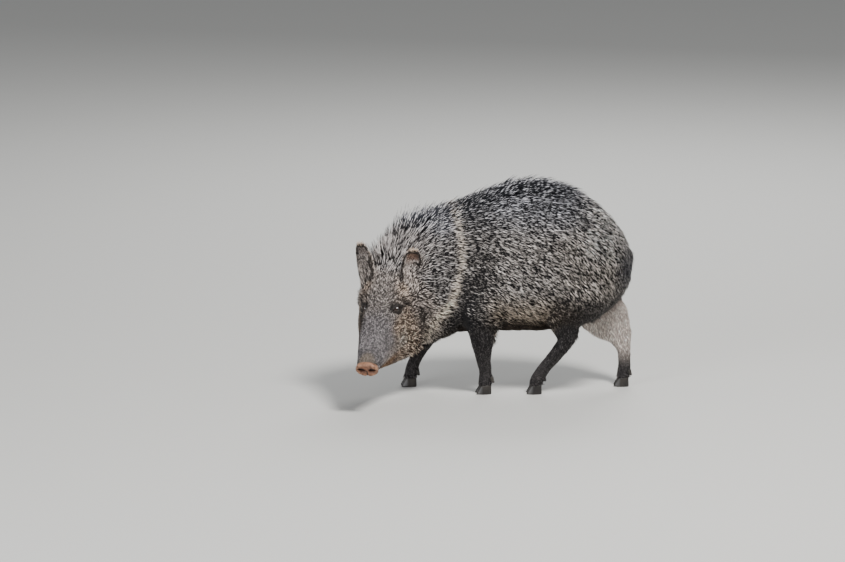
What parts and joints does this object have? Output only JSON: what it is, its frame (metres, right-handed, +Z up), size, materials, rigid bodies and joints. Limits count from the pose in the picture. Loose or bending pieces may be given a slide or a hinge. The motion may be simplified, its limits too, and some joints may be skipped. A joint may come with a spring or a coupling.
{
  "type": "collared peccary",
  "caption": "Life-size collared peccary walking with its head lowered and turned towards the viewer, with bristly coat, pale collar, disc snout, small ears and cloven hooves.",
  "frame": {"origin": "on the floor, under the middle of the animal's bounding box", "axes": "+Z up, the animal walks towards -X with its left flank at -Y, and its head is turned to its left"},
  "size_m": [0.6422, 0.4252, 0.4957],
  "materials": {
    "coat": "coarse black and grey banded bristles",
    "face": "short grizzled brown-grey hair",
    "leg": "short black hair",
    "ear": "short hair, bare reddish hollow",
    "nose": "moist bare skin",
    "eye": "wet and glossy",
    "hoof": "dull dark horn"
  },
  "bodies": {
    "root": {"dewclaw_fore_left_inner": "hoof", "dewclaw_fore_left_outer": "hoof", "dewclaw_fore_right_inner": "hoof", "dewclaw_fore_right_outer": "hoof", "dewclaw_hind_left_inner": "hoof", "dewclaw_hind_right_inner": "hoof", "ear_left": "ear", "ear_right": "ear", "eye_left": "eye", "eye_right": "eye", "foreleg_left_lower": "leg", "foreleg_left_upper": "leg", "foreleg_right_lower": "leg", "foreleg_right_upper": "leg", "head": "face", "hindleg_left_lower": "leg", "hindleg_left_upper": "leg", "hindleg_right_lower": "leg", "hindleg_right_upper": "leg", "hoof_fore_left_inner": "hoof", "hoof_fore_left_outer": "hoof", "hoof_fore_right_inner": "hoof", "hoof_fore_right_outer": "hoof", "hoof_hind_left_inner": "hoof", "hoof_hind_left_outer": "hoof", "hoof_hind_right_inner": "hoof", "hoof_hind_right_outer": "hoof", "lower_jaw": "face", "neck": "coat", "nose_disc": "nose", "snout": "face", "tail": "coat", "trunk": "coat"}
  },
  "joints": []
}
